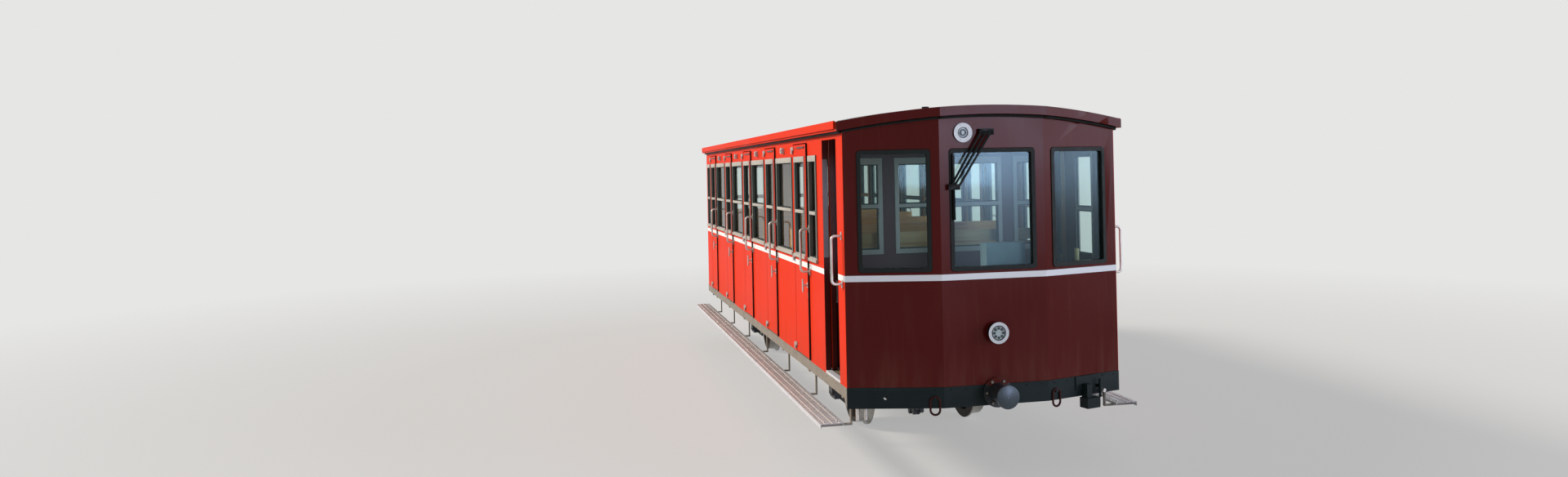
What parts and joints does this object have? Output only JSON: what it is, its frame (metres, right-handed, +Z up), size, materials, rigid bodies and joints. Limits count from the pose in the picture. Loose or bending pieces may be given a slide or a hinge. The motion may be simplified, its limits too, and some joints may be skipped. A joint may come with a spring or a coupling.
{
  "type": "rack railway coach",
  "caption": "Leading coach of a mountain rack railway, with a faceted nose, an arched roof, hinged side doors to its compartments, full-length running boards and a braked rack pinion",
  "frame": {"origin": "bottom centre of the whole coach, at the level of the wheel flange tips, 28 mm below the top of the rail", "axes": "X across the coach, Y along it towards its rear end, so that the nose faces -Y, Z up"},
  "size_m": [2.58, 8.005, 2.7911],
  "materials": {
    "band_red": "gloss enamel",
    "bench_wood": "varnished ash",
    "board_steel": "galvanised and worn",
    "cast_iron": "as cast, oiled",
    "chassis_green": "semi-matt paint",
    "coach_red": "gloss enamel, a little faded",
    "desk_grey": "matt paint",
    "floor_wood": "worn boards",
    "frame_grey": "anodised",
    "hoop_red": "worn paint",
    "lamp_lens": "moulded glass",
    "lamp_white": "gloss enamel",
    "rail_steel": "brushed",
    "roof_grey": "matt paint",
    "seal_rubber": "extruded, matt",
    "sole_beige": "weathered paint",
    "wheel_steel": "rolled steel, treads bright",
    "window_glass": "clear float glass",
    "wiper_black": "satin"
  },
  "bodies": {
    "root": {"axle_boxes": "cast_iron", "axle_guards": "chassis_green", "board_hangers": "sole_beige", "brake_bands": "cast_iron", "driver_desk": "desk_grey", "end_couplings": "chassis_green", "floor": "floor_wood", "front_buffer": "cast_iron", "front_skirt": "chassis_green", "grab_rails": "rail_steel", "headlamp_housings": "lamp_white", "headlamp_lenses": "lamp_lens", "leaf_springs": "wheel_steel", "left_side_wall": "coach_red", "nose_glass": "window_glass", "nose_wall": "coach_red", "nose_window_seals": "seal_rubber", "platform_bulkhead": "coach_red", "platform_thresholds": "frame_grey", "rear_buffer": "cast_iron", "rear_headstock": "chassis_green", "rear_wall": "coach_red", "right_side_wall": "coach_red", "roof": "roof_grey", "roof_band": "band_red", "running_boards": "board_steel", "seat_benches": "bench_wood", "sole_bars": "sole_beige", "towing_hoops": "hoop_red", "underframe": "chassis_green", "window_frames": "frame_grey", "window_glass": "window_glass", "wiper": "wiper_black"},
    "side_door_right_1": {"door_right_1": "coach_red", "door_right_1_glass": "window_glass"},
    "side_door_right_2": {"door_right_2": "coach_red", "door_right_2_glass": "window_glass"},
    "side_door_right_3": {"door_right_3": "coach_red", "door_right_3_glass": "window_glass"},
    "side_door_right_4": {"door_right_4": "coach_red", "door_right_4_glass": "window_glass"},
    "side_door_right_5": {"door_right_5": "coach_red", "door_right_5_glass": "window_glass"},
    "side_door_left_1": {"door_left_1": "coach_red", "door_left_1_glass": "window_glass"},
    "side_door_left_2": {"door_left_2": "coach_red", "door_left_2_glass": "window_glass"},
    "side_door_left_3": {"door_left_3": "coach_red", "door_left_3_glass": "window_glass"},
    "side_door_left_4": {"door_left_4": "coach_red", "door_left_4_glass": "window_glass"},
    "side_door_left_5": {"door_left_5": "coach_red", "door_left_5_glass": "window_glass"},
    "sliding_door_right": {"platform_door_right": "coach_red", "platform_door_right_glass": "window_glass"},
    "sliding_door_left": {"platform_door_left": "coach_red", "platform_door_left_glass": "window_glass"},
    "front_axle": {"front_wheelset": "wheel_steel", "brake_pinion": "cast_iron"},
    "rear_axle": {"rear_wheelset": "wheel_steel"}
  },
  "joints": [
    {"name": "right_door_1_hinge", "type": "hinge", "parent": "root", "child": "side_door_right_1", "pos_m": [-1.114, -1.949, 1.608], "axis": [0, 0, -1], "range_deg": [0, 95]},
    {"name": "right_door_2_hinge", "type": "hinge", "parent": "root", "child": "side_door_right_2", "pos_m": [-1.114, -0.624, 1.608], "axis": [0, 0, -1], "range_deg": [0, 95]},
    {"name": "right_door_3_hinge", "type": "hinge", "parent": "root", "child": "side_door_right_3", "pos_m": [-1.114, 0.701, 1.608], "axis": [0, 0, -1], "range_deg": [0, 95]},
    {"name": "right_door_4_hinge", "type": "hinge", "parent": "root", "child": "side_door_right_4", "pos_m": [-1.114, 2.026, 1.608], "axis": [0, 0, -1], "range_deg": [0, 95]},
    {"name": "right_door_5_hinge", "type": "hinge", "parent": "root", "child": "side_door_right_5", "pos_m": [-1.114, 3.351, 1.608], "axis": [0, 0, -1], "range_deg": [0, 95]},
    {"name": "left_door_1_hinge", "type": "hinge", "parent": "root", "child": "side_door_left_1", "pos_m": [1.114, -1.949, 1.608], "axis": [0, 0, 1], "range_deg": [0, 95]},
    {"name": "left_door_2_hinge", "type": "hinge", "parent": "root", "child": "side_door_left_2", "pos_m": [1.114, -0.624, 1.608], "axis": [0, 0, 1], "range_deg": [0, 95]},
    {"name": "left_door_3_hinge", "type": "hinge", "parent": "root", "child": "side_door_left_3", "pos_m": [1.114, 0.701, 1.608], "axis": [0, 0, 1], "range_deg": [0, 95]},
    {"name": "left_door_4_hinge", "type": "hinge", "parent": "root", "child": "side_door_left_4", "pos_m": [1.114, 2.026, 1.608], "axis": [0, 0, 1], "range_deg": [0, 95]},
    {"name": "left_door_5_hinge", "type": "hinge", "parent": "root", "child": "side_door_left_5", "pos_m": [1.114, 3.351, 1.608], "axis": [0, 0, 1], "range_deg": [0, 95]},
    {"name": "right_platform_door_slide", "type": "slide", "parent": "root", "child": "sliding_door_right", "axis": [0, -1, 0], "range_m": [0, 0.44]},
    {"name": "left_platform_door_slide", "type": "slide", "parent": "root", "child": "sliding_door_left", "axis": [0, 1, 0], "range_m": [0, 0.44]},
    {"name": "front_axle_spin", "type": "hinge", "parent": "root", "child": "front_axle", "pos_m": [0, -1.9055, 0.328], "axis": [1, 0, 0], "continuous": true},
    {"name": "rear_axle_spin", "type": "hinge", "parent": "root", "child": "rear_axle", "pos_m": [0, 2.0945, 0.328], "axis": [1, 0, 0], "continuous": true}
  ]
}
